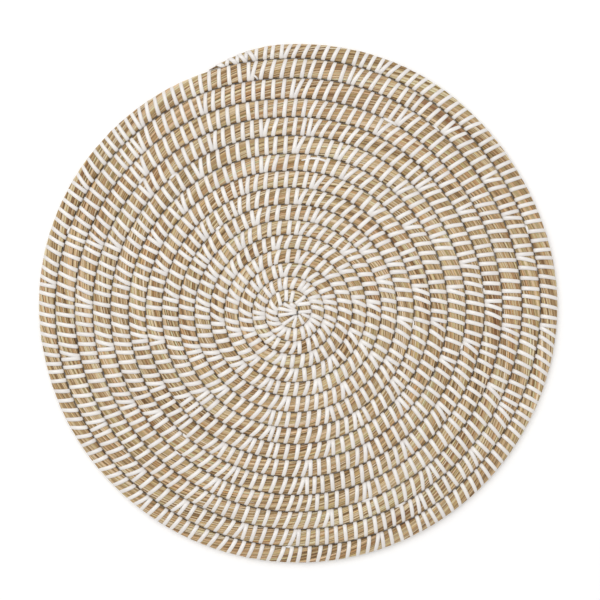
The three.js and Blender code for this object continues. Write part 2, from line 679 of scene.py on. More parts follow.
@dataclass(frozen=True)
class WhiteStrap:
    """Glossy white plastic strap, with dark brown painted shade where it dives into a groove."""

    white: tuple = (0.880, 0.845, 0.805)
    shade: tuple = (0.720, 0.680, 0.655)
    # painted shade where the strap dives into a groove
    groove: tuple = (0.110, 0.050, 0.012)
    roughness: float = 0.32
    specular: float = 0.3
    coat: float = 0.6
    tone_share: float = 0.5
    cloud_share: float = 0.25
    fibres_a_metre: float = 500.0
    relief: float = 0.00006

    def build(self) -> bpy.types.Material:
        """Makes the material.

        Returns:
            The material, which reads the marks that the straps carry.
        """
        finish = Finish("white_strap")
        cloud = finish.noise(finish.place(), self.fibres_a_metre, 2.0)
        greyness = finish.mark("tone") * self.tone_share + cloud * self.cloud_share
        colour = finish.mix(greyness, self.white, self.shade)
        # painted shade down in a groove
        colour = finish.mix(finish.mark("groove"), colour, self.groove)
        values = {
            "Base Color": colour,
            "Roughness": self.roughness,
            "Specular IOR Level": self.specular,
            # no gloss in the painted groove shade
            "Coat Weight": self.coat * (1.0 - finish.mark("groove")),
            "Normal": finish.bump(cloud, self.relief),
        }
        return finish.dress(values)


@dataclass(frozen=True)
class Sweep:
    """Geometry Nodes that run a closed oval section along each guide of a mesh."""

    name: str
    sides: int
    width: float
    thickness: float
    unevenness: float
    seed: int
    bumps_a_metre: float = 250.0

    def tree(self) -> bpy.types.NodeTree:
        """Builds the node tree.

        Returns:
            The tree, with its sizes, seed and material as named inputs.
        """
        tree = bpy.data.node_groups.new(self.name, "GeometryNodeTree")
        inputs = {
            "Geometry": "NodeSocketGeometry",
            "Width": "NodeSocketFloat",
            "Thickness": "NodeSocketFloat",
            "Unevenness": "NodeSocketFloat",
            "Seed": "NodeSocketInt",
            "Material": "NodeSocketMaterial",
        }
        for label, kind in inputs.items():
            tree.interface.new_socket(label, in_out="INPUT", socket_type=kind)
        tree.interface.new_socket("Geometry", in_out="OUTPUT", socket_type="NodeSocketGeometry")
        build = NodeBuilder(tree)
        given = build.node("NodeGroupInput", {}, {}).outputs

        guides = build.node("GeometryNodeMeshToCurve", {}, {"Mesh": given["Geometry"]})
        reads = {"data_type": "FLOAT_VECTOR"}
        outward = build.node("GeometryNodeInputNamedAttribute", reads, {"Name": "outward"})
        values = {"Curve": guides.outputs[0], "Normal": outward.outputs["Attribute"]}
        guides = build.node("GeometryNodeSetCurveNormal", {"mode": "FREE"}, values)

        reads = {"data_type": "FLOAT"}
        share = build.node("GeometryNodeInputNamedAttribute", reads, {"Name": "share"})
        spot = build.node("GeometryNodeInputPosition", {}, {})
        values = {"Vector": spot.outputs[0], "W": given["Seed"], "Detail": 1.0}
        values["Scale"] = self.bumps_a_metre
        noise = build.node("ShaderNodeTexNoise", {"noise_dimensions": "4D"}, values)
        values = {0: noise.outputs["Fac"], 1: 2.0, 2: -1.0}
        either_way = build.node("ShaderNodeMath", {"operation": "MULTIPLY_ADD"}, values)
        values = {0: either_way.outputs[0], 1: given["Unevenness"], 2: 1.0}
        uneven = build.node("ShaderNodeMath", {"operation": "MULTIPLY_ADD"}, values)
        values = {0: uneven.outputs[0], 1: share.outputs["Attribute"]}
        scale = build.node("ShaderNodeMath", {"operation": "MULTIPLY"}, values)

        values = {"Resolution": self.sides, "Radius": 0.5}
        circle = build.node("GeometryNodeCurvePrimitiveCircle", {}, values)
        values = {"X": given["Thickness"], "Y": given["Width"], "Z": 1.0}
        oval_size = build.node("ShaderNodeCombineXYZ", {}, values)
        values = {"Geometry": circle.outputs["Curve"], "Scale": oval_size.outputs[0]}
        oval = build.node("GeometryNodeTransform", {}, values)

        values = {
            "Curve": guides.outputs[0],
            "Profile Curve": oval.outputs[0],
            "Scale": scale.outputs[0],
            "Fill Caps": True,
        }
        swept = build.node("GeometryNodeCurveToMesh", {}, values)
        smooth = build.node("GeometryNodeSetShadeSmooth", {}, {"Geometry": swept.outputs[0]})
        whole = build.node("GeometryNodeRealizeInstances", {}, {"Geometry": smooth.outputs[0]})
        values = {"Geometry": whole.outputs[0], "Material": given["Material"]}
        dressed = build.node("GeometryNodeSetMaterial", {}, values)
        build.node("NodeGroupOutput", {}, {0: dressed.outputs[0]})
        return tree

    def run(self, name: str, guides: list[Guide], material: bpy.types.Material) -> bpy.types.Object:
        """Sweeps the section along some guides.

        Args:
            name: the piece's name.
            guides: the lines, each with the same marks.
            material: the finish.

        Returns:
            The piece, as one plain mesh.
        """
        piece = add_object(name, guide_mesh(name, guides))
        modifier = piece.modifiers.new("sweep", "NODES")
        modifier.node_group = self.tree()
        sizes = {
            "Width": self.width * MM,
            "Thickness": self.thickness * MM,
            "Unevenness": self.unevenness,
            "Seed": self.seed,
            "Material": material,
        }
        for socket in modifier.node_group.interface.items_tree:
            if socket.in_out == "INPUT" and socket.name in sizes:
                modifier[socket.identifier] = sizes[socket.name]
        return make_plain(piece)


def add_object(name: str, data: bpy.types.ID) -> bpy.types.Object:
    """Puts a new object in the scene.

    Args:
        name: its name.
        data: its mesh, light or camera.

    Returns:
        The object, at the origin.
    """
    made = bpy.data.objects.new(name, data)
    bpy.context.scene.collection.objects.link(made)
    return made


def guide_mesh(name: str, guides: list[Guide]) -> bpy.types.Mesh:
    """Makes a mesh of loose edges out of guides.

    Args:
        name: the mesh's name.
        guides: the lines, each with the same marks.

    Returns:
        The mesh, with outward, share and the marks stored on its points.
    """
    counts = [len(guide.points) for guide in guides]
    points = np.concatenate([guide.points for guide in guides])
    starts = np.arange(len(points) - 1)
    starts = np.delete(starts, np.cumsum(counts)[:-1] - 1)
    mesh = bpy.data.meshes.new(name)
    mesh.vertices.add(len(points))
    mesh.vertices.foreach_set("co", points.astype(np.float32).ravel())
    mesh.edges.add(len(starts))
    mesh.edges.foreach_set("vertices", np.stack([starts, starts + 1], 1).ravel())
    outward = np.concatenate([guide.square_outward() for guide in guides])
    stored = mesh.attributes.new("outward", "FLOAT_VECTOR", "POINT")
    stored.data.foreach_set("vector", outward.astype(np.float32).ravel())
    marks = {"share": np.concatenate([guide.share for guide in guides])}
    for mark in guides[0].marks:
        marks[mark] = np.concatenate([guide.marks[mark] for guide in guides])
    store_marks(mesh, marks)
    return mesh


def store_marks(mesh: bpy.types.Mesh, marks: dict[str, np.ndarray]) -> None:
    """Stores numbers on a mesh's points, for its material to read.

    Args:
        mesh: the mesh.
        marks: an array for each name.
    """
    for name, numbers in marks.items():
        stored = mesh.attributes.new(name, "FLOAT", "POINT")
        stored.data.foreach_set("value", np.asarray(numbers, np.float32).ravel())


def make_plain(piece: bpy.types.Object) -> bpy.types.Object:
    """Turns a piece with modifiers into a plain mesh.

    Args:
        piece: the piece.

    Returns:
        The same piece, with no modifier left.
    """
    graph = bpy.context.evaluated_depsgraph_get()
    evaluated = piece.evaluated_get(graph)
    whole = {"preserve_all_data_layers": True, "depsgraph": graph}
    mesh = bpy.data.meshes.new_from_object(evaluated, **whole)
    mesh.name = piece.name
    piece.modifiers.clear()
    piece.data = mesh
    for helper in ("outward", "share"):
        if helper in mesh.attributes:
            mesh.attributes.remove(mesh.attributes[helper])
    return piece


def finish_piece(piece: bpy.types.Object) -> None:
    """Hangs a piece from the mat's body, hides the CAD node and reports the piece's triangles.

    Args:
        piece: the piece.
    """
    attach(piece, BODY)
    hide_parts(NODE)
    piece.data.calc_loop_triangles()
    log.info("%s: %d triangles", piece.name, len(piece.data.loop_triangles))


@dataclass(frozen=True)
class Stain:
    """A red-brown stretch of stems."""

    bearing: float
    half_length: float
    side: float  # -1 at the inner side of the bundle, 1 at the outer
    strength: float


@dataclass
class GrassBundle:
    """The bundle of stems, wound from the eye to its tapered end."""

    path: CoilPath
    section: Section
    start: float = -358.0
    lanes: int = 42
    stem_share: float = 1.42  # a stem's width, as a share of its lane
    stem_flatness: float = 0.85
    slant: float = 0.2  # how far stems drift round the bundle for each length along it
    longest_step: float = 8.5
    step_share: float = 0.09  # a step's length, as a share of its distance from the eye
    shortest_step: float = 1.6
    shortest_stem: float = 70.0
    longest_stem: float = 240.0
    first_stem: float = 20.0  # the least length of a lane's first stem
    tuck: float = 0.35  # how deep a stem's end is tucked in
    tuck_before: float = 0.3  # share of that one step before the end
    end_narrowing: float = 0.35
    depths: float = 0.16  # how much deeper than the next one a stem may lie
    stray: float = 0.22  # how far off its lane a stem lies, in lanes
    sway: float = 0.35  # how far it wanders from there, in lanes
    stem_widths: tuple[float, float] = (0.85, 1.1)
    stem_sides: int = 4
    unevenness: float = 0.1
    trim: float = 0.7  # how far short of its end, in degrees, the bundle is cut
    core_points: int = 12
    core_inset: float = 0.25
    # the core is dark, as painted shade between the stems
    core_shade_tone: float = 0.1
    core_hue: float = 0.5
    stains: tuple[Stain, ...] = (
        Stain(5092, 11, 0.55, 1.0),
        Stain(5116, 9, 0.5, 0.6),
        Stain(4980, 7, 0.1, 0.7),
        Stain(4321, 10, 0.4, 0.8),
        Stain(4755, 8, -0.5, 0.5),
        Stain(5507.8, 2.2, 0.2, 1.0),
    )
    stain_half_width: float = 0.45
    groove_starts: float = 0.64  # share of the full height where the painted shade of a groove starts
    pieces: tuple[str, ...] = ("grass_inner_turns", "grass_middle_turns", "grass_outer_turns")
    seed: int = 11

    def __post_init__(self) -> None:
        """Walks the bundle's rings, from the start to the end."""
        bearings = [self.start]
        while bearings[-1] < self.path.end:
            radius = float(self.middle_radius(bearings[-1]))
            step = np.clip(self.step_share * radius, self.shortest_step, self.longest_step)
            bearings.append(bearings[-1] + math.degrees(step / max(radius, 3.0)))
        self.bearings = np.array(bearings)
        self.bearings[-1] = self.path.end - self.trim
        self.walk_rings()

    def middle_radius(self, bearing: np.ndarray) -> np.ndarray:
        """Distance from the eye to the bundle's middle."""
        return (self.path.groove(bearing) + self.path.outer(bearing)) / 2

    def walk_rings(self) -> None:
        """Works out each ring's size and the points at even steps round it."""
        at = self.bearings
        self.middles = self.middle_radius(at)
        self.half_widths = (self.path.outer(at) - self.path.groove(at)) / 2 - self.section.clearance
        self.half_heights = self.section.half_height * self.path.height_share(at)
        step = np.diff(self.bearings, prepend=self.bearings[0])
        self.along = np.cumsum(np.radians(step) * self.middles)
        walks = [self.section.walk(w, h) for w, h in zip(self.half_widths, self.half_heights)]
        self.perimeters = np.array([way for _, _, way in walks])
        self.stem_sizes = self.perimeters / self.lanes * self.stem_share
        self.ring_x = np.stack([x for x, _, _ in walks])
        self.ring_z = np.stack([z for _, z, _ in walks])
        drift = np.diff(self.along, prepend=0.0) * self.slant / self.perimeters
        self.turned = np.cumsum(drift)

    def round_ring(self, rings: np.ndarray, share: np.ndarray) -> tuple[np.ndarray, np.ndarray]:
        """Points on the bundle's surface.

        Args:
            rings: the ring of each point.
            share: how far round the section it is, in turns.

        Returns:
            How far out of the bundle's middle and how far up each point is.
        """
        place = (share % 1) * self.section.samples
        low = np.floor(place).astype(int)
        part = place - low
        x = self.ring_x[rings, low] * (1 - part) + self.ring_x[rings, low + 1] * part
        z = self.ring_z[rings, low] * (1 - part) + self.ring_z[rings, low + 1] * part
        return x, z

    def marks(self, rings: np.ndarray, x: np.ndarray, z: np.ndarray) -> dict[str, np.ndarray]:
        """What the finish reads at some points.

        Args:
            rings: the ring of each point.
            x: how far out of the bundle's middle it is.
            z: how far up it is.

        Returns:
            The marks along, groove and stain; groove is painted shade, full down where two turns
            meet.
        """
        height = np.abs(z) / self.half_heights[rings]
        # painted shade: darker as a point lies lower down the side of the bundle, towards a groove
        depth = np.clip(1 - height / self.groove_starts, 0, 1)
        bearing = self.bearings[rings]
        on_rim = (bearing > self.path.end - TURN) & (x > 0)
        stain = np.zeros(len(rings))
        for row in self.stains:
            near = 1 - ((bearing - row.bearing) / row.half_length) ** 4
            across = 1 - ((x / self.half_widths[rings] - row.side) / self.stain_half_width) ** 2
            stain = np.maximum(stain, row.strength * np.clip(near, 0, 1) * np.clip(across, 0, 1))
        return {
            "along": self.along[rings] * MM,
            # painted shade in the groove between turns, none on the rim's outer side
            "groove": np.where(on_rim, 0.0, depth),
            "stain": stain,
        }

    def stem(self, rings: np.ndarray, lane: float, rng: np.random.Generator) -> Guide:
        """Lays one stem.

        Args:
            rings: the rings that it passes.
            lane: its place round the bundle, in turns.
            rng: draws its colour and its waywardness.

        Returns:
            Its guide.
        """
        tone, hue = rng.random(2)
        stray = rng.normal(0, self.stray) / self.lanes
        sway = np.sin(np.linspace(0, rng.uniform(1, 4), len(rings)) + rng.uniform(0, TURN))
        share = lane + stray + self.turned[rings] + sway * self.sway / self.lanes
        x, z = self.round_ring(rings, share)
        size = self.stem_sizes[rings]
        ends = np.minimum(np.arange(len(rings)), np.arange(len(rings))[::-1])
        tucked = np.where(ends == 0, 1.0, np.where(ends == 1, self.tuck_before, 0.0))
        sink = size / 2 * self.stem_flatness + self.tuck * tucked + rng.uniform(0, self.depths)
        out_x = 1 - sink / self.half_widths[rings]
        out_z = 1 - sink / self.half_heights[rings]
        radius = self.middles[rings] + x * out_x
        points = self.path.place(self.bearings[rings], radius, MIDDLE + z * out_z)
        outward = self.outward(rings, x, z)
        marks = self.marks(rings, x, z)
        marks["tone"] = np.full(len(rings), tone)
        marks["hue"] = np.full(len(rings), hue)
        width = size / self.stem_sizes.max() * rng.uniform(*self.stem_widths)
        width = width * (1 - self.end_narrowing * tucked)
        return Guide(points, outward, width, marks)

    def outward(self, rings: np.ndarray, x: np.ndarray, z: np.ndarray) -> np.ndarray:
        """Directions straight out of the bundle's surface.

        Args:
            rings: the ring of each point.
            x: how far out of the bundle's middle it is.
            z: how far up it is.

        Returns:
            A row of three for each point.
        """
        power = self.section.squareness - 1
        wide, high = self.half_widths[rings], self.half_heights[rings]
        out = np.sign(x) * np.abs(x / wide) ** power / wide
        up = np.sign(z) * np.abs(z / high) ** power / high
        angle = np.radians(self.bearings[rings])
        return np.stack([out * np.cos(angle), out * np.sin(angle), up], axis=1)

    def stems(self) -> list[list[Guide]]:
        """Lays all stems, lane by lane, each stem from one random length to the next.

        Returns:
            The guides of each piece, from the inner turns to the outer.
        """
        rng = np.random.default_rng(self.seed)
        parts: list[list[Guide]] = [[] for _ in self.pieces]
        share = len(self.bearings) / len(parts)
        for lane in range(self.lanes):
            first = 0
            length = rng.uniform(self.first_stem, self.longest_stem)
            while first < len(self.bearings) - 3:
                last = int(np.searchsorted(self.along, self.along[first] + length))
                last = min(max(last, first + 3), len(self.bearings) - 1)
                rings = np.arange(first, last + 1)
                parts[int(first / share)].append(self.stem(rings, lane / self.lanes, rng))
                first = last - 1
                if last == len(self.bearings) - 1:
                    break
                length = rng.uniform(self.shortest_stem, self.longest_stem)
        return parts

    def core(self, material: bpy.types.Material) -> bpy.types.Object:
        """Makes the bundle's inside, which shows only between the stems, dark as painted shade.

        Args:
            material: the finish.

        Returns:
            The piece, one closed mesh.
        """
        rings = np.repeat(np.arange(len(self.bearings)), self.core_points)
        share = np.tile(np.arange(self.core_points) / self.core_points, len(self.bearings))
        x, z = self.round_ring(rings, share + self.turned[rings])
        sink = self.stem_sizes[rings] / 2 + self.core_inset
        radius = self.middles[rings] + x * (1 - sink / self.half_widths[rings])
        height = MIDDLE + z * (1 - sink / self.half_heights[rings])
        points = self.path.place(self.bearings[rings], radius, height)
        faces = tube_faces(len(self.bearings), self.core_points)
        mesh = bpy.data.meshes.new("grass_core")
        mesh.from_pydata(points.tolist(), [], faces)
        marks = self.marks(rings, x, z)
        marks["tone"] = np.full(len(rings), self.core_shade_tone)
        marks["hue"] = np.full(len(rings), self.core_hue)
        store_marks(mesh, marks)
        mesh.shade_smooth()
        mesh.materials.append(material)
        return add_object("grass_core", mesh)

    def build(self, material: bpy.types.Material) -> list[bpy.types.Object]:
        """Makes the core and the stems round it.

        Args:
            material: the finish.

        Returns:
            The core, then the stems from the inner turns to the outer.
        """
        widest = float(self.stem_sizes.max())
        thick = widest * self.stem_flatness
        sweep = Sweep("stem", self.stem_sides, widest, thick, self.unevenness, self.seed)
        pieces = [self.core(material)]
        for name, guides in zip(self.pieces, self.stems()):
            pieces.append(sweep.run(name, guides, material))
        for piece in pieces:
            finish_piece(piece)
        return pieces


def tube_faces(rings: int, points: int) -> list[tuple[int, ...]]:
    """Faces of a closed tube.

    Args:
        rings: how many rings of points it has.
        points: how many points each ring has, anticlockwise as seen from the tube's end.

    Returns:
        The faces, facing out.
    """
    faces: list[tuple[int, ...]] = []
    for ring in range(rings - 1):
        for point in range(points):
            near, far = ring * points, (ring + 1) * points
            beside = (point + 1) % points
            faces.append((near + point, far + point, far + beside, near + beside))
    last = (rings - 1) * points
    faces.append(tuple(range(points)))
    faces.append(tuple(range(last, last + points))[::-1])
    return faces


@dataclass(frozen=True)
class Stitch:
    """One pass of the strap over the bundle, from its outer side down to its hole."""

    outer_bearing: float
    hole_bearing: float


@dataclass(frozen=True)
class StarStrap:
    """A strap at the eye: where it comes up and goes down, in bearings and millimetres."""

    from_bearing: float
    from_radius: float
    to_bearing: float
    to_radius: float
    from_width: float = 3.0
    to_width: float = 3.1


STAR = (
    StarStrap(4, 3.7, 135, 8.0, 2.0, 3.0),
    StarStrap(352, 3.8, 167, 9.8, 2.0, 3.2),
    StarStrap(342, 3.9, 198, 9.9, 2.0, 3.0),
    StarStrap(312, 4.6, 237, 12.0, 2.2, 3.1),
    StarStrap(322, 5.0, 277, 12.0, 2.0, 3.1),
    StarStrap(334, 6.0, 314, 12.8, 1.9, 3.0),
    StarStrap(346, 7.6, 342, 14.2, 2.0, 2.8),
    StarStrap(352, 5.4, 360, 14.7, 2.6, 2.9),
    StarStrap(50, 6.5, 23, 15.1),
    StarStrap(60, 6.1, 47, 14.9),
    StarStrap(94, 6.6, 84, 14.7),
    StarStrap(116, 8.5, 103, 15.9),
    StarStrap(151, 8.8, 127, 17.0),
    StarStrap(98, 5.7, 47, 4.1),
)
FIRST_STITCHES = (
    Stitch(152, 175),
    Stitch(174, 187),
    Stitch(187, 211),
    Stitch(204, 226),
    Stitch(226, 241),
    Stitch(241, 252),
    Stitch(260, 263),
    Stitch(276, 282),
    Stitch(294, 302),
    Stitch(307, 318),
    Stitch(320, 327),
    Stitch(334, 338),
    Stitch(345, 350),
    Stitch(362, 372),
    Stitch(374, 388),
    Stitch(388, 394),
    Stitch(405, 412),
    Stitch(417, 421),
    Stitch(426, 430),
    Stitch(441, 449),
    Stitch(458, 465),
    Stitch(470, 476),
    Stitch(485, 494),
    Stitch(499, 504),
)
LAST_STITCHES = (
    Stitch(95.4, 96.0),
    Stitch(97.5, 98.0),
    Stitch(99.7, 100.4),
    Stitch(101.8, 102.3),
    Stitch(104.1, 104.7),
)


@dataclass
class StitchPlan:
    """Where each stitch goes, worked out as the sewing went: a hole beside each stitch below."""

    path: CoilPath
    spacings: tuple[AlongCoil, ...] = (
        AlongCoil(0.4, 4.9),
        AlongCoil(1.5, 6.8),
        AlongCoil(3, 7.6),
        AlongCoil(4, 7.2),
        AlongCoil(5, 7.2),
        AlongCoil(8, 7.4),
        AlongCoil(11, 7.1),
        AlongCoil(13, 7.4),
        AlongCoil(14, 7.2),
        AlongCoil(15.3, 7.1),
    )
    beside: float = 2.3  # from a stitch's outer end to the next turn's hole
    least_lean: float = 1.9
    widest: float = 1.04  # the widest single spacing, as a share of the usual one
    pair_from: tuple[float, float] = (1.38, 1.68)  # a gap this wide takes a pair
    pair_lead: float = 1.7  # how much further on a pair's second strap comes up
    triple_from: float = 2.7
    single_range: tuple[float, float] = (0.94, 1.06)  # how much that widest spacing varies
    lead_range: tuple[float, float] = (0.5, 1.4)  # and that lead
    apart: float = 2.6  # between two straps that share a hole
    too_near: float = 0.55
    stray: float = 0.3  # how far a stitch's ends lie off an even row
    last: float = 94.4  # bearing in the last turn of the last stitch before the tapered end
    seed: int = 5

    def stitches(self) -> list[Stitch]:
        """Works along the coil from the star to the tapered end.

        Returns:
            The stitches in the order they were sewn.
        """
        rng = np.random.default_rng(self.seed)
        made = list(FIRST_STITCHES)
        ends = [stitch.outer_bearing + TURN for stitch in made]
        final_turn = self.path.end - self.path.end % TURN
        for below in ends:  # the list grows as it is read, a turn behind the sewing
            hole = below + self.degrees(self.beside, below)
            if hole > final_turn + self.last:
                break
            out = hole + TURN
            usual = float(size_at(self.spacings, hole))
            gap = self.span(out - self.degrees(self.least_lean, out) - ends[-1], out)
            if gap < self.too_near * usual:
                continue
            count = 1 + int(gap > usual * rng.uniform(*self.pair_from))
            count += int(gap > usual * self.triple_from)
            if count == 1:
                gap = min(gap, usual * self.widest * rng.uniform(*self.single_range))
            else:
                gap += self.pair_lead * rng.uniform(*self.lead_range)
            start = ends[-1]
            for number in range(count):
                end = start + self.degrees(gap * (number + 1) / count, out)
                aside = (number - (count - 1) / 2) * self.apart + rng.normal(0, self.stray)
                sideways = self.degrees(rng.normal(0, self.stray / 2), out)
                made.append(Stitch(end - TURN + sideways, hole + self.degrees(aside, hole)))
                ends.append(end)
        made = [stitch for stitch in made if stitch.outer_bearing < final_turn + self.last]
        for row in LAST_STITCHES:
            made.append(Stitch(final_turn + row.outer_bearing, final_turn + row.hole_bearing))
        return made

    def degrees(self, length: float, bearing: float) -> float:
        """The angle of a length along the groove at a bearing."""
        return math.degrees(length / float(self.path.groove(bearing)))

    def span(self, angle: float, bearing: float) -> float:
        """The length of an angle along the groove at a bearing."""
        return math.radians(angle) * float(self.path.groove(bearing))


def strap_outward(
    bearing: np.ndarray, across: np.ndarray, up: np.ndarray, power: float
) -> np.ndarray:
    """Directions out of a strap that lies round the bundle.

    Args:
        bearing: where its points are, in degrees.
        across: how far out of the bundle's middle they are, as a share of its half width.
        up: how far up they are, as a share of its half height.
        power: how sharply it turns at the sides.

    Returns:
        A row of three for each point.
    """
    out = np.sign(across) * np.abs(across) ** power
    rise = np.sign(up) * np.abs(up) ** power
    angle = np.radians(bearing)
    return np.stack([out * np.cos(angle), out * np.sin(angle), rise], axis=1)


@dataclass
class Lashing:
    """The strap, in two lengths that go over and under the bundle at each stitch."""

    path: CoilPath
    section: Section
    plan: StitchPlan
    width: float = 3.0
    widths: tuple[AlongCoil, ...] = (
        AlongCoil(0.4, 3.1),
        AlongCoil(2, 3.2),
        AlongCoil(5, 3.2),
        AlongCoil(8, 3.05),
        AlongCoil(15.3, 2.85),
    )
    thickness: float = 0.95
    half_height: float = 3.4
    outer_margin: float = 0.52  # from the strap's middle line to where two turns meet
    hook: float = 0.12  # how far past that line the strap goes down
    foot: float = 1.12  # width at the hole, as a share of the usual width
    bow: float = 1.25
    over: tuple[float, ...] = (0, 14, 34, 60, 90, 120, 146, 166)
    under: tuple[float, ...] = (180, 200, 232, 270, 308, 340)
    side_share: float = 0.86
    # share of the full height where the strap's painted shade starts, and where it starts to narrow
    groove_starts: float = 0.46
    sides: int = 8
    seed: int = 3

    def pass_points(
        self, angles: tuple[float, ...], outer: float, inner: float
    ) -> tuple[np.ndarray, ...]:
        """Points of one pass over or under the bundle.

        Args:
            angles: places round the section, 0 at the outer side and 90 at the crown.
            outer: the bearing at the outer side.
            inner: the bearing at the inner side.

        Returns:
            Bearings, radii and heights, and how far out and up the section is at each point.
        """
        across, up = self.section.oval(np.array(angles))
        share = (across + 1) / 2
        bearing = inner + (outer - inner) * share**self.bow
        low = self.path.groove(bearing) - self.hook
        high = self.path.outer(bearing) - self.outer_margin
        radius = low + (high - low) * share
        height = MIDDLE + up * self.half_height * self.path.height_share(bearing)
        return bearing, radius, height, across, up

    def guide(self, stitches: list[Stitch], rng: np.random.Generator) -> Guide:
        """The strap's line through some stitches.

        Args:
            stitches: the stitches, in order.
            rng: draws each stitch's tone.

        Returns:
            Its guide.
        """
        passes = []
        tones = []
        for stitch, after in zip(stitches, [*stitches[1:], stitches[-1]]):
            passes.append(self.pass_points(self.over, stitch.outer_bearing, stitch.hole_bearing))
            passes.append(self.pass_points(self.under, after.outer_bearing, stitch.hole_bearing))
            tones.append(np.full(len(self.over) + len(self.under), rng.random()))
        bearing, radius, height, across, up = (np.concatenate(part) for part in zip(*passes))
        outward = strap_outward(bearing, across, up, self.section.squareness - 1)
        level = np.abs(up)
        foot = self.foot - (self.foot - 1) * (across + 1) / 2
        share = self.side_share + (1 - self.side_share) * np.clip(level / self.groove_starts, 0, 1)
        share *= foot * size_at(self.widths, bearing) / self.width
        # painted shade where the strap dives into a groove, none where it shows on the rim's outer
        # side
        exposed = (bearing > self.path.end - TURN) & (across > 0)
        groove = np.where(exposed, 0.0, np.clip(1 - level / self.groove_starts, 0, 1))
        marks = {"tone": np.concatenate(tones), "groove": groove}
        return Guide(self.path.place(bearing, radius, height), outward, share, marks)

    def build(self, material: bpy.types.Material) -> list[bpy.types.Object]:
        """Makes the lashing of the inner and of the outer turns.

        Args:
            material: the finish.

        Returns:
            The two pieces.
        """
        rng = np.random.default_rng(self.seed)
        stitches = self.plan.stitches()
        log.info("%d stitches", len(stitches))
        half = len(stitches) // 2
        size = (self.width, self.thickness, STRAP_UNEVENNESS)
        sweep = Sweep("lashing", self.sides, *size, self.seed)
        pieces = []
        for name, part in (
            ("lashing_inner_turns", stitches[: half + 1]),
            ("lashing_outer_turns", stitches[half + 1 :]),
        ):
            piece = sweep.run(name, [self.guide(part, rng)], material)
            finish_piece(piece)
            pieces.append(piece)
        return pieces


@dataclass
class EyeStar:
    """The straps that radiate from the eye, on both faces."""

    path: CoilPath
    width: float = 3.0
    thickness: float = 0.95
    crown: float = 3.32  # heights of a strap above the bundle's middle: along it, and at its ends
    foot: float = 0.8
    layer: float = 0.04  # how far each of the layers lies above the last
    layers: int = 4
    squareness: float = 5.0
    facing: float = 1.02  # how far up a strap faces at its middle, where its ends face out
    groove_starts: float = 0.3  # share of the rise where the painted shade of an end starts
    points: int = 11
    sides: int = 8
    seed: int = 9

    def guide(self, strap: StarStrap, face: Face, lift: float, tone: float) -> Guide:
        """One strap's line.

        Args:
            strap: where it comes up and goes down.
            face: the face that it lies on.
            lift: how far it lies above the lowest ones.
            tone: how grey it is.

        Returns:
            Its guide.
        """
        start = self.plan_point(strap.from_bearing, strap.from_radius)
        end = self.plan_point(strap.to_bearing, strap.to_radius)
        swing = np.linspace(math.pi, 0, self.points)
        share = (np.sign(np.cos(swing)) * -(np.abs(np.cos(swing)) ** (2 / self.squareness)) + 1) / 2
        rise = np.abs(np.sin(swing)) ** (2 / self.squareness)
        plan = start + (end - start) * share[:, None]
        height = MIDDLE + face.value * (self.foot + (self.crown + lift - self.foot) * rise)
        angle = np.degrees(np.arctan2(plan[:, 1], plan[:, 0]))
        points = self.path.place(angle, np.hypot(plan[:, 0], plan[:, 1]), height)
        way = (end - start) / np.linalg.norm(end - start)
        lean = (2 * share - 1) ** 3
        upright = face.value * (self.facing - np.abs(lean))
        outward = np.stack([way[0] * lean, way[1] * lean, upright], axis=1)
        # painted shade where the strap's ends go down into the bundle
        groove = np.clip(1 - rise / self.groove_starts, 0, 1)
        marks = {"tone": np.full(self.points, tone), "groove": groove}
        width = strap.from_width + (strap.to_width - strap.from_width) * share
        return Guide(points, outward, width / self.width, marks)

    @staticmethod
    def plan_point(bearing: float, radius: float) -> np.ndarray:
        """A point in plan, in millimetres from the eye."""
        angle = math.radians(bearing)
        return np.array([radius * math.cos(angle), radius * math.sin(angle)])

    def build(self, material: bpy.types.Material) -> bpy.types.Object:
        """Makes the star.

        Args:
            material: the finish.

        Returns:
            The piece.
        """
        rng = np.random.default_rng(self.seed)
        guides = []
        for face in Face:
            for number, strap in enumerate(STAR):
                lift = self.layer * (number % self.layers)
                guides.append(self.guide(strap, face, lift, rng.random()))
        size = (self.width, self.thickness, STRAP_UNEVENNESS)
        sweep = Sweep("star", self.sides, *size, self.seed)
        piece = sweep.run("eye_star", guides, material)
        finish_piece(piece)
        return piece


@dataclass
class EndLashing:
    """The straps that cross back over the tapered end."""

    path: CoilPath
    lashing: Lashing
    bearings: tuple[float, ...] = (98.9, 101.0, 103.2, 106.1)
    lean: float = 0.6
    lift: float = 0.5
    wider: float = 1.08  # than the rest of the lashing
    turning: float = 1.5  # how sharply a strap turns at the sides
    over: tuple[float, ...] = (-30, 0, 20, 45, 70, 90, 110, 135, 160, 180, 205)
    seed: int = 21

    def guide(self, bearing: float, tone: float) -> Guide:
        """One strap that leans the other way.

        Args:
            bearing: the middle of the strap, in degrees of the last turn.
            tone: how grey it is.

        Returns:
            Its guide.
        """
        middle = self.path.end - self.path.end % TURN + bearing
        outer, inner = middle + self.lean, middle - self.lean
        at, radius, height, across, up = self.lashing.pass_points(self.over, outer, inner)
        outward = strap_outward(at, across, up, self.turning)
        outward /= np.linalg.norm(outward, axis=1, keepdims=True)
        points = self.path.place(at, radius, height) + outward * self.lift * MM
        marks = {"tone": np.full(len(at), tone), "groove": np.zeros(len(at))}
        return Guide(points, outward, np.ones(len(at)), marks)

    def build(self, material: bpy.types.Material) -> bpy.types.Object:
        """Makes the crossed straps.

        Args:
            material: the finish.

        Returns:
            The piece.
        """
        rng = np.random.default_rng(self.seed)
        guides = [self.guide(bearing, rng.random()) for bearing in self.bearings]
        size = (self.lashing.width * self.wider, self.lashing.thickness, STRAP_UNEVENNESS)
        sweep = Sweep("end lashing", self.lashing.sides, *size, self.seed)
        piece = sweep.run("end_lashing", guides, material)
        finish_piece(piece)
        return piece


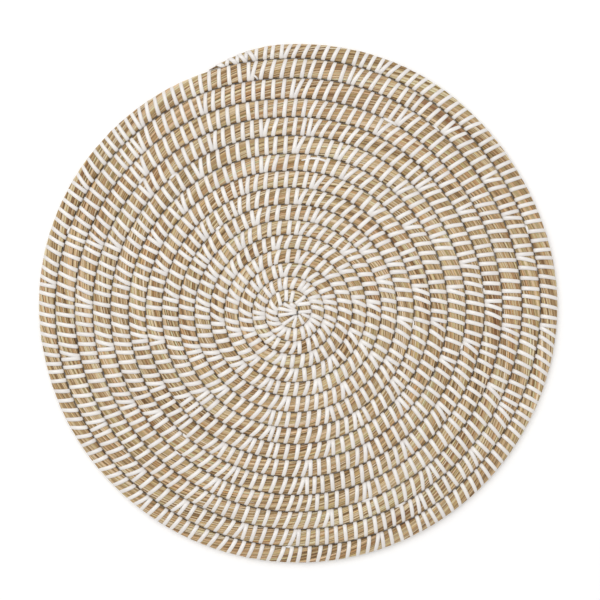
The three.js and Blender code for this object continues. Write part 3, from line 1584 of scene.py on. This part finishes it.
@dataclass(frozen=True)
class GrooveRun:
    """A stretch of strap that shows along a groove: its middle on the mat, and its size."""

    x: float
    y: float
    length: float
    width: float


@dataclass(frozen=True)
class TailPoint:
    """A place on a loose end of strap: on the mat, and above the bundle's middle."""

    x: float
    y: float
    height: float
    width: float


@dataclass
class StrapTails:
    """Short straps that lie along a groove where the sewing skipped, and the loose ends."""

    path: CoilPath
    runs: tuple[GrooveRun, ...] = (
        GrooveRun(68.2, 134.4, 9.0, 2.2),
        GrooveRun(101.1, 128.4, 4.9, 1.5),
        GrooveRun(-115.5, 90.4, 4.7, 1.9),
        GrooveRun(-91.6, 93.5, 5.6, 2.0),
        GrooveRun(-167.6, 53.5, 4.6, 1.8),
        GrooveRun(-59.0, 55.4, 3.6, 2.2),
        GrooveRun(168.0, 54.1, 5.3, 1.8),
        GrooveRun(-82.5, -96.8, 3.6, 1.8),
        GrooveRun(-39.8, -69.4, 3.7, 1.3),
        GrooveRun(-6.7, -177.7, 4.4, 1.2),
        GrooveRun(119.8, -31.8, 3.6, 1.9),
        GrooveRun(50.6, -144.0, 6.6, 1.8),
        GrooveRun(74.8, -147.7, 6.4, 1.6),
        GrooveRun(83.9, -15.9, 5.1, 1.1),
        GrooveRun(135.0, 8.8, 3.0, 1.4),
        GrooveRun(-88.1, -109.7, 4.3, 1.1),
    )
    ends: tuple[tuple[TailPoint, ...], ...] = (
        (
            TailPoint(2.4, 105.0, 2.9, 0.9),
            TailPoint(5.5, 105.5, 3.4, 1.2),
            TailPoint(9.8, 106.4, 3.4, 1.6),
            TailPoint(14.0, 106.2, 3.4, 1.8),
            TailPoint(17.8, 105.3, 3.3, 1.8),
            TailPoint(20.5, 104.4, 2.6, 1.8),
        ),
        (
            TailPoint(-29.6, 164.6, 1.2, 1.3),
            TailPoint(-30.3, 165.4, 2.8, 1.4),
            TailPoint(-31.4, 166.5, 3.6, 1.4),
            TailPoint(-32.6, 167.4, 3.3, 1.0),
            TailPoint(-33.2, 167.7, 2.8, 0.7),
        ),
    )
    width: float = 2.0
    thickness: float = 0.6
    rest: float = 2.3  # height above the bundle's middle
    dive: float = 0.6
    overlap: float = 1.3  # how much longer a run is than what shows of it
    points: int = 9
    sides: int = 8
    seed: int = 31

    def find(self, x: float, y: float) -> tuple[float, float]:
        """Finds the groove nearest to a place.

        Args:
            x: the place on the mat, in millimetres from its middle.
            y: the same.

        Returns:
            The bearing of the groove there, and its distance from the eye.
        """
        shift_x, shift_y = self.path.shift
        across, along = x - self.path.eye_x - shift_x, y - self.path.eye_y - shift_y
        radius = math.hypot(across, along)
        turns = np.arange(0, self.path.end, TURN)
        bearings = math.degrees(math.atan2(along, across)) % TURN + turns
        nearest = bearings[np.abs(self.path.groove(bearings) - radius).argmin()]
        return float(nearest), float(self.path.groove(nearest))

    def run_guide(self, run: GrooveRun, tone: float) -> Guide:
        """The line of a strap along a groove.

        Args:
            run: the strap.
            tone: how grey it is.

        Returns:
            Its guide.
        """
        bearing, radius = self.find(run.x, run.y)
        way = np.linspace(-1, 1, self.points)
        at = bearing + way * math.degrees(run.length * self.overlap / 2 / radius)
        height = MIDDLE + self.rest - (self.rest - self.dive) * np.abs(way) ** 3
        points = self.path.place(at, self.path.groove(at), height)
        return self.flat_guide(points, np.full(self.points, run.width), tone)

    def end_guide(self, end: tuple[TailPoint, ...], tone: float) -> Guide:
        """The line of a loose end.

        Args:
            end: its places, in order.
            tone: how grey it is.

        Returns:
            Its guide.
        """
        points = np.array([(place.x, place.y, MIDDLE + place.height) for place in end]) * MM
        return self.flat_guide(points, np.array([place.width for place in end]), tone)

    def flat_guide(self, points: np.ndarray, width: np.ndarray, tone: float) -> Guide:
        """A strap that lies flat side up along some points.

        Args:
            points: the points, in metres.
            width: the strap's width at each, in millimetres.
            tone: how grey it is.

        Returns:
            Its guide.
        """
        outward = np.tile([0.0, 0.0, 1.0], (len(points), 1))
        marks = {"tone": np.full(len(points), tone), "groove": np.zeros(len(points))}
        return Guide(points, outward, width / self.width, marks)

    def build(self, material: bpy.types.Material) -> bpy.types.Object:
        """Makes all of them.

        Args:
            material: the finish.

        Returns:
            The piece.
        """
        rng = np.random.default_rng(self.seed)
        guides = [self.run_guide(run, rng.random()) for run in self.runs]
        guides += [self.end_guide(end, rng.random()) for end in self.ends]
        size = (self.width, self.thickness, STRAP_UNEVENNESS)
        sweep = Sweep("strap tail", self.sides, *size, self.seed)
        piece = sweep.run("strap_tails", guides, material)
        finish_piece(piece)
        return piece


@dataclass(frozen=True)
class Studio:
    """A white floor, soft light from above and a camera that looks straight down."""

    floor_size: float = 6.0
    floor_colour: tuple = (0.98, 0.98, 0.98)
    floor_glow: float = 0.05
    floor_roughness: float = 0.9
    sky_strength: float = 0.66
    lamp_height: float = 1.6
    lamp_size: float = 1.4
    lamp_power: float = 14.3
    lamp_x: float = -0.35
    lamp_y: float = 0.45
    lens: float = 100.0
    sensor: float = 36.0
    image_width: float = 0.4402  # what the picture spans at the mat's upper face
    centre_x: float = 0.00136
    centre_y: float = 0.00236
    top: float = 0.008

    def build(self) -> None:
        """Makes the floor, the light and the camera."""
        self.lay_floor()
        self.hang_lamp()
        self.light_sky()
        self.set_camera()

    def lay_floor(self) -> None:
        """Lays a white sheet under the mat."""
        half = self.floor_size / 2
        mesh = bpy.data.meshes.new("floor")
        corners = [(-half, -half, 0), (half, -half, 0), (half, half, 0), (-half, half, 0)]
        mesh.from_pydata(corners, [], [(0, 1, 2, 3)])
        paper = (*self.floor_colour, 1)
        values = {"Base Color": paper, "Roughness": self.floor_roughness}
        values |= {"Emission Color": paper, "Emission Strength": self.floor_glow}
        mesh.materials.append(Finish("floor_paper").dress(values))
        add_object("floor", mesh)

    def hang_lamp(self) -> None:
        """Hangs one wide soft lamp above the mat."""
        light = bpy.data.lights.new("soft_lamp", "AREA")
        light.shape = "SQUARE"
        light.size = self.lamp_size
        light.energy = self.lamp_power
        lamp = add_object("soft_lamp", light)
        lamp.location = (self.lamp_x, self.lamp_y, self.lamp_height)
        lamp.rotation_euler = (-lamp.location).to_track_quat("-Z", "Y").to_euler()

    def light_sky(self) -> None:
        """Fills the room with even white light."""
        world = bpy.data.worlds.new("white_room")
        world.use_nodes = True
        background = world.node_tree.nodes["Background"]
        background.inputs["Color"].default_value = (1, 1, 1, 1)
        background.inputs["Strength"].default_value = self.sky_strength
        bpy.context.scene.world = world

    def set_camera(self) -> None:
        """Looks straight down, with the mat where the photograph has it."""
        view = bpy.data.cameras.new("overhead")
        view.lens = self.lens
        view.sensor_width = self.sensor
        camera = add_object("overhead", view)
        distance = self.image_width * self.lens / self.sensor
        camera.location = Vector((self.centre_x, self.centre_y, self.top + distance))
        bpy.context.scene.camera = camera
        bpy.context.scene.view_settings.view_transform = "Standard"


def declare_sheet(path: CoilPath, step: float = 0.5) -> None:
    """Works out the area that each step of the rim sweeps about the eye, and does nothing more with
    it.

    Args:
        path: the coil, for its area.
        step: how many degrees of the rim each area covers.
    """
    bearing = np.arange(path.end - TURN, path.end, step)
    swept = np.radians(step) * path.outer(bearing) ** 2 / 2


def main() -> None:
    """Builds the mat and its studio."""
    logging.basicConfig(level=logging.INFO, format="%(name)s: %(message)s")
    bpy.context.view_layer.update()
    Studio().build()
    grass = DriedGrass().build()
    strap = WhiteStrap().build()
    path = CoilPath()
    section = Section()
    pieces = GrassBundle(path, section).build(grass)
    lashing = Lashing(path, section, StitchPlan(path))
    pieces += lashing.build(strap)
    pieces.append(EyeStar(path).build(strap))
    pieces.append(EndLashing(path, lashing).build(strap))
    pieces.append(StrapTails(path).build(strap))
    declare_sheet(path)


if __name__ == "__main__":
    main()
